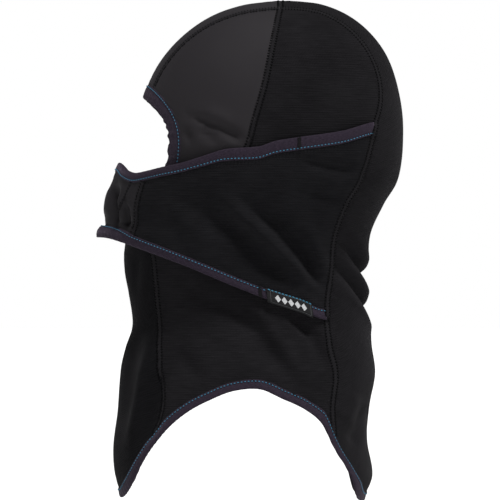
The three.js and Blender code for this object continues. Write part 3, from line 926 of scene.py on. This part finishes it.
def side_front_edge(t):
    depth = mix(neck_seam_start, neck_seam_foot, np.clip(2 * t - 1, 0, 1))
    neck = hood.on_face(neck_panel_half(depth), -depth)[:, 1:]
    return np.where((t <= 0.5)[:, None], crown_seam(np.clip(2 * t, 0, 1)), neck)


def side_back_edge(t):
    place = mix(CROWN_SEAM_ANGLE, back_seam_foot, t)
    return over_middle(place, back_panel_half(place))[:, 1:]


# ---------------------------------------------------------------- the hood


def crown_strip_spot(u, v):
    x = (2 * u - 1) * mix(BROW_STRIP, CROWN_STRIP, v)
    brow = opening_at(brow_angle_at(x, UNDER_FACE_BINDING), UNDER_FACE_BINDING)
    brow_angle = np.degrees(np.arctan2(brow[:, 2], -brow[:, 1]))
    return over_middle(mix(brow_angle, CROWN_SEAM_ANGLE, v), x)


def back_panel_spot(u, v):
    side = 2 * u - 1
    foot = 180 - hem_top_across(side * 58.5, -1)
    place = mix(CROWN_SEAM_ANGLE, foot, v)
    return over_middle(place, side * back_panel_half(place))


def neck_panel_spot(u, v):
    side = 2 * u - 1
    sine = side * neck_panel_half(50) / opening_reach(UNDER_FACE_BINDING)
    chin = opening_at(np.pi - np.arcsin(sine), UNDER_FACE_BINDING)[:, 2]
    z = mix(chin, hem_top_across(side * neck_panel_half(220), 1), v)
    return hood.on_face(side * neck_panel_half(-z), z)


def forehead_spot(side):
    top = brow_angle_at(BROW_STRIP, UNDER_FACE_BINDING)

    def edge(t):
        return opening_at(mix(top, OPENING_SEAM_ANGLE, t), UNDER_FACE_BINDING)[:, 1:]

    def spot(u, v):
        start = edge(np.zeros(1))[0]
        brow = math.degrees(math.atan2(start[1], -start[0]))
        strip = over_middle(mix(brow, CROWN_SEAM_ANGLE, u), mix(BROW_STRIP, CROWN_STRIP, u))[:, 1:]
        straight = mix(start, crown_seam(np.zeros(1))[0], u[:, None])
        plain = mix(edge(v), crown_seam(v), u[:, None])
        plain = plain + (1 - v)[:, None] * (strip - straight)
        return hood.on_side(plain[:, 0], plain[:, 1], side)

    return spot


def side_spot(side):
    def spot(u, v):
        share = (1 - np.cos(np.pi * u)) / 2
        share = mix(u, share, 0.5)[:, None]
        plain = mix(side_front_edge(v), side_back_edge(v), share)
        ones = np.ones_like(v)
        foot = mix(side_front_edge(ones), side_back_edge(ones), share)
        z = plain[:, 1] + v ** 3 * (hem_top_at(foot[:, 0]) - foot[:, 1])
        return hood.on_side(plain[:, 0], z, side)

    return spot


hood_pieces = []
mask_pieces = []
rear_pieces = []

hood_pieces.append(panel("crown_strip_cloth", 60, 120, crown_strip_spot, hood, hood_height,
                         WINDPROOF, ["crown_strip"]))
hood_pieces.append(panel("centre_back_cloth", 112, 440, back_panel_spot, hood, hood_height,
                         KNIT, ["centre_back_panel"], 2.0))
hood_pieces.append(panel("neck_front_cloth", 130, 200, neck_panel_spot, hood, hood_height,
                         SHADED_NECK_KNIT, ["neck_front_panel"]))
SIDES = (("left", 1), ("right", -1))
for word, side in SIDES:
    hood_pieces.append(panel("forehead_cloth_" + word, 110, 110, forehead_spot(side), hood,
                             hood_height, WINDPROOF, ["forehead_panel_" + word]))
    hood_pieces.append(panel("side_cloth_" + word, 170, 370, side_spot(side), hood, hood_height,
                             KNIT, ["side_panel_" + word], level_grain=True))

# ---------------------------------------------------------------- hood bindings


def constant(width):
    return lambda t: np.full_like(t, width)


def face_spot(t, w):
    """The free edge is gathered, so its outline is slightly scalloped."""
    turn = (2 * t - 1) * np.pi
    loose = smooth(np.abs(turn), 0.8, 1.5)
    scallop = 0.9 * loose * np.sin(turn * 36 + 1.5 * np.sin(turn * 5)) * np.exp(-w / 3)
    return opening_at(turn, w + scallop)


def hem_spot(t, w):
    turn = (2 * t - 1) * np.pi
    q = signed_power(np.cos(turn), 2 / ROUNDNESS)
    share = w / HEM_BINDING
    return hood.around(turn, mix(hem_edge(q), hem_top(q), share))


hood_pieces += binding("face_binding", 260, face_spot, constant(FACE_BINDING), hood, hood_height,
                       ["face_binding"], closed=True, gather=0.3, low=BINDING_SUNK)
hood_pieces += binding("hem_binding", 420, hem_spot, constant(HEM_BINDING), hood, hood_height,
                       ["hem_binding"], closed=True, gather=0.25, low=BINDING_SUNK)

# ---------------------------------------------------------------- hood seams


def brow_place(x):
    brow = opening_at(np.array([brow_angle_at(x, FACE_BINDING)]), FACE_BINDING)[0]
    return math.degrees(math.atan2(brow[2], -brow[1]))


for word, side in SIDES:
    start = brow_place(BROW_STRIP)

    def strip_line(place, side=side, start=start):
        share = (place - start) / (CROWN_SEAM_ANGLE - start)
        return over_middle(place, side * mix(BROW_STRIP, CROWN_STRIP, share))

    def crown_line(t, side=side):
        p = crown_seam(t)
        return hood.on_side(p[:, 0], p[:, 1], side)

    def back_line(place, side=side):
        return over_middle(place, side * back_panel_half(place))

    def neck_line(depth, side=side):
        return hood.on_face(side * neck_panel_half(depth), -depth)

    hood_pieces += flatlock("strip_seam_" + word, strip_line, hood, hood_height, start + 1,
                            CROWN_SEAM_ANGLE - 0.5)
    hood_pieces += flatlock("crown_seam_" + word, crown_line, hood, hood_height, 0.004, 0.9)
    hood_pieces += flatlock("back_seam_" + word, back_line, hood, back_seam_height,
                            CROWN_SEAM_ANGLE + 0.5, back_seam_foot - 2)
    hood_pieces += flatlock("neck_seam_" + word, neck_line, hood, hood_height,
                            neck_seam_start + 2, neck_seam_foot - 2)


def crown_crossing(x):
    return over_middle(np.full_like(x, CROWN_SEAM_ANGLE), x)


hood_pieces += flatlock("crown_crossing_seam", crown_crossing, hood, hood_height,
                        -CROWN_STRIP, CROWN_STRIP, rise=0.05)

# ---------------------------------------------------------------- the mask

def mask_band_width(angle):
    """The upper binding is a little wider behind the ear than over the nose."""
    return mix(MASK_BAND_FRONT, MASK_BAND_REAR, smooth(np.abs(angle), 0.7, 1.6))


def mask_panel_top(q):
    angle = np.arccos(np.clip(signed_power(q, 1.05), -1, 1))
    return mask_top_edge(q) - mask_band_width(angle) + MASK_TUCK


def mask_panel_foot(q):
    return mask_bottom_edge(q) + MASK_BINDING - MASK_TUCK


def mask_front_spot(u, v):
    angle = (2 * u - 1) * MASK_FRONT_ANGLE
    q = mask_reach(angle)
    return mask.around(angle, mix(mask_panel_top(q), mask_panel_foot(q), v))


def seam_angle(z):
    place = np.where(z >= 0, 180 - np.degrees(z / HEAD_RADIUS), 180 - z)
    share = back_panel_half(place) / half_width(np.maximum(-z, 0))
    return np.arccos(-((1 - share ** ROUNDNESS) ** 0.5))


def mask_side_spot(side):
    def spot(u, v):
        z = np.full_like(u, -60.0)
        for _ in range(10):
            angle = mix(MASK_FRONT_ANGLE, seam_angle(z), u)
            q = mask_reach(angle)
            z = mix(mask_panel_top(q), mask_panel_foot(q), v)
        return mask.around(side * angle, z)

    return spot


mask_pieces.append(panel("mask_front_cloth", 104, 52, mask_front_spot, mask, mask_height,
                         SHADED_MASK_WINDPROOF, ["mask_front_panel"], 1.6))
for word, side in SIDES:
    mask_pieces.append(panel("mask_side_cloth_" + word, 215, 110, mask_side_spot(side), mask,
                             mask_height, SHADED_MASK_KNIT,
                             ["mask_side_" + word, "mask_rear_" + word], level_grain=True))

# ---------------------------------------------------------------- mask bindings

TOP_END = float(mask.angle_of(np.array([77.5]), np.array([1.0]))[0])
FOOT_END = float(mask.angle_of(np.array([41.5]), np.array([-140.0]))[0])


def top_spot(t, w):
    angle = (2 * t - 1) * TOP_END
    return mask.around(angle, mask_top_edge(mask_reach(angle)) - w)


def top_width(t):
    return mask_band_width((2 * t - 1) * TOP_END)


def foot_spot(t, w):
    angle = (2 * t - 1) * FOOT_END
    return mask.around(angle, mask_bottom_edge(mask_reach(angle)) + w)


def foot_height(p):
    """The whole lower binding stands out below the nose."""
    low = p[:, 2] - mask_bottom_edge(mask.reach(p[:, 1], p[:, 2]))
    proud = np.exp(-(p[:, 0] / NOSE_CURL_REACH) ** 2) * (1 - smooth(low, 4, 11))
    return mask_height(p) + NOSE_CURL * proud


for edge, steps, spot, width, height in (
        ("top", 300, top_spot, top_width, mask_height),
        ("bottom", 280, foot_spot, constant(MASK_BINDING), foot_height)):
    node = f"mask_{edge}_binding"
    mask_pieces += binding("mask_" + edge, steps, spot, width, mask, height,
                           [node, node + "_rear_left", node + "_rear_right"])

# ---------------------------------------------------------------- mask seams and darts

for word, side in SIDES:
    def front_line(t, side=side):
        angle = np.full_like(t, side * MASK_FRONT_ANGLE)
        q = mask_reach(angle)
        return mask.around(angle, mix(mask_panel_top(q), mask_panel_foot(q), t))

    def dart_line(t, side=side):
        y, z = mix(-103.5, -114.5, t), mix(-36.5, -62.0, t)
        return mask.on_side(y, z, side)

    mask_pieces += flatlock("mask_front_seam_" + word, front_line, mask, mask_height, 0.03, 0.97)
    mask_pieces += flatlock("nose_dart_" + word, dart_line, mask, mask_height, 0.0, 1.0,
                            rise=0.15, width=1.8)

# ---------------------------------------------------------------- bar tacks and label


def bar_tack(name, spot, width, share, form, height, stands_for):
    """A short dense row of stitches that locks the end of the mask down."""
    w = np.arange(0.4, width, 0.42)
    t = np.full_like(w, share)
    p = spot(t, w)
    along = spot(t + 0.0005, w) - spot(t - 0.0005, w)
    slant = (spot(t, w + 0.2) - p) * np.where(np.arange(len(w)) % 2, 1, -1)[:, None]
    along = along / np.linalg.norm(along, axis=1, keepdims=True) + slant * 2
    tack = stitches(name, form.lift(p, height(p) + TAPE * 0.46), along, form.normal(p), 3.6, 0.3,
                    SEAM_CLOTH)
    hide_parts(stands_for)
    return tack


def share_at(spot, y, w):
    """Share of the way along a tape, on the left, where it passes a side-view distance."""
    t = np.linspace(0.5, 1, 800)
    return float(np.interp(y, spot(t, np.full_like(t, w))[:, 1], t))


top_share = share_at(top_spot, 20.5, 4)
foot_share = share_at(foot_spot, -9, 4)
for word, side in SIDES:
    for edge, spot, width, share in (("top", top_spot, 8.6, top_share),
                                     ("bottom", foot_spot, MASK_BINDING, foot_share)):
        t = share if side > 0 else 1 - share
        rear_pieces.append(bar_tack(f"bar_tack_{edge}_{word}_thread", spot, width, t, mask,
                                    mask_height, f"bar_tack_{edge}_{word}"))

label_start = share_at(foot_spot, -4.0, 4)
label_end = share_at(foot_spot, 30.5, 4)


def label_spot(u, v):
    t = mix(label_start, label_end, u)
    w = MASK_BINDING / 2 + (v - 0.5) * LABEL_WIDTH - 0.6
    p = foot_spot(t, w)
    round_over = 0.9 * np.exp(-((v - 0.04) / 0.1) ** 2)
    return mask.lift(p, mask_height(p) + TAPE * 0.5 + 0.75 - round_over
                     + 0.12 * np.sin(u * 9 + 1) * v)


def label_piece():
    piece = grid_piece("woven_label_cloth", 46, 16, label_spot, LABEL_CLOTH)
    layer = piece.data.uv_layers["cloth"]
    for loop in layer.data:
        loop.uv[0] = loop.uv[0] + LABEL_LENGTH * 0.0005
    wall = piece.modifiers.new("label_thickness", "SOLIDIFY")
    wall.thickness = 0.0006
    wall.offset = -1
    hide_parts("woven_label")
    return piece


def label_stitches():
    def path(t):
        p = label_spot(t, np.full_like(t, 0.955))
        return p + mask.normal(p) * 0.15

    t, _ = walk(path, 0.015, 0.985, TOPSTITCH_PITCH)
    return stitches("woven_label_stitches", path(t), tangents(path, t, 0.002), mask.normal(path(t)),
                    2.3, 0.46, TEAL)


rear_pieces.append(label_piece())
rear_pieces.append(label_stitches())

# ---------------------------------------------------------------- what moves with what

tack_top = to_frame(np.array([0, 20.5, -8.0]))
tack_foot = to_frame(np.array([0, -9.0, -121.0]))
fold_line = tack_foot - tack_top
fold_across = np.array([0, fold_line[2], -fold_line[1]]) / np.linalg.norm(fold_line)
stretch_start = (tack_top + tack_foot) / 2
stretch_end = stretch_start + 0.08 * fold_across
for piece in hood_pieces + rear_pieces:
    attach(piece, "hood")
for piece in mask_pieces:
    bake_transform(piece)

# ---------------------------------------------------------------- studio

ROOM_LIGHT = 0.145
SUNS = (("key", (0.42, 0.24, 1.2), 14, 3.75), ("fill", (1.0, 0.4, 0.5), 40, 0.2))


def studio():
    scene = bpy.context.scene
    scene.view_settings.view_transform = "Standard"
    world = bpy.data.worlds.new("studio_white")
    world.use_nodes = True
    tree = world.node_tree
    room = tree.nodes["Background"]
    room.inputs["Color"].default_value = (1, 1, 1, 1)
    room.inputs["Strength"].default_value = ROOM_LIGHT
    backdrop = tree.nodes.new("ShaderNodeBackground")
    backdrop.inputs["Color"].default_value = (1, 1, 1, 1)
    seen = tree.nodes.new("ShaderNodeLightPath")
    pick = tree.nodes.new("ShaderNodeMixShader")
    tree.links.new(seen.outputs["Is Camera Ray"], pick.inputs[0])
    tree.links.new(room.outputs[0], pick.inputs[1])
    tree.links.new(backdrop.outputs[0], pick.inputs[2])
    tree.links.new(pick.outputs[0], tree.nodes["World Output"].inputs["Surface"])
    scene.world = world
    bm = bmesh.new()
    bmesh.ops.create_circle(bm, cap_ends=True, segments=64, radius=6)
    floor_height = cad_box[0][2] - 0.035
    bmesh.ops.translate(bm, verts=bm.verts, vec=(0, 0, floor_height))
    pale = Maker("studio_floor", Specular_IOR_Level=0.0)
    grain = pale.noise(pale.place("Object"), 3.0)
    pale.join(pale.blend(grain, (0.96, 0.96, 0.96), (0.98, 0.98, 0.98)),
              pale.surface.inputs["Base Color"])
    pale.surface.inputs["Roughness"].default_value = 1.0
    object_from("studio_floor", bm, pale.material)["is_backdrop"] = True
    for name, toward, softness, strength in SUNS:
        lamp = bpy.data.lights.new(name, "SUN")
        lamp.angle = math.radians(softness)
        lamp.energy = strength
        holder = bpy.data.objects.new(name, lamp)
        holder.rotation_euler = (-Vector(toward)).to_track_quat("-Z", "Y").to_euler()
        bpy.context.collection.objects.link(holder)


def camera():
    distance = 2.2
    seen = 0.395
    lens = bpy.data.cameras.new("camera")
    lens.sensor_width = 36
    lens.lens = 36 * distance / seen
    holder = bpy.data.objects.new("camera", lens)
    aim = Vector(to_frame(np.array([0, -16.6, -91.0])))
    holder.location = aim + Vector((distance, 0, 0))
    holder.rotation_euler = Vector((-1, 0, 0)).to_track_quat("-Z", "Y").to_euler()
    bpy.context.collection.objects.link(holder)
    bpy.context.scene.camera = holder


studio()
camera()

boxes = {"cad": cad_box, "visual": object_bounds()}
{key: [list(corner) for corner in box] for key, box in boxes.items()}
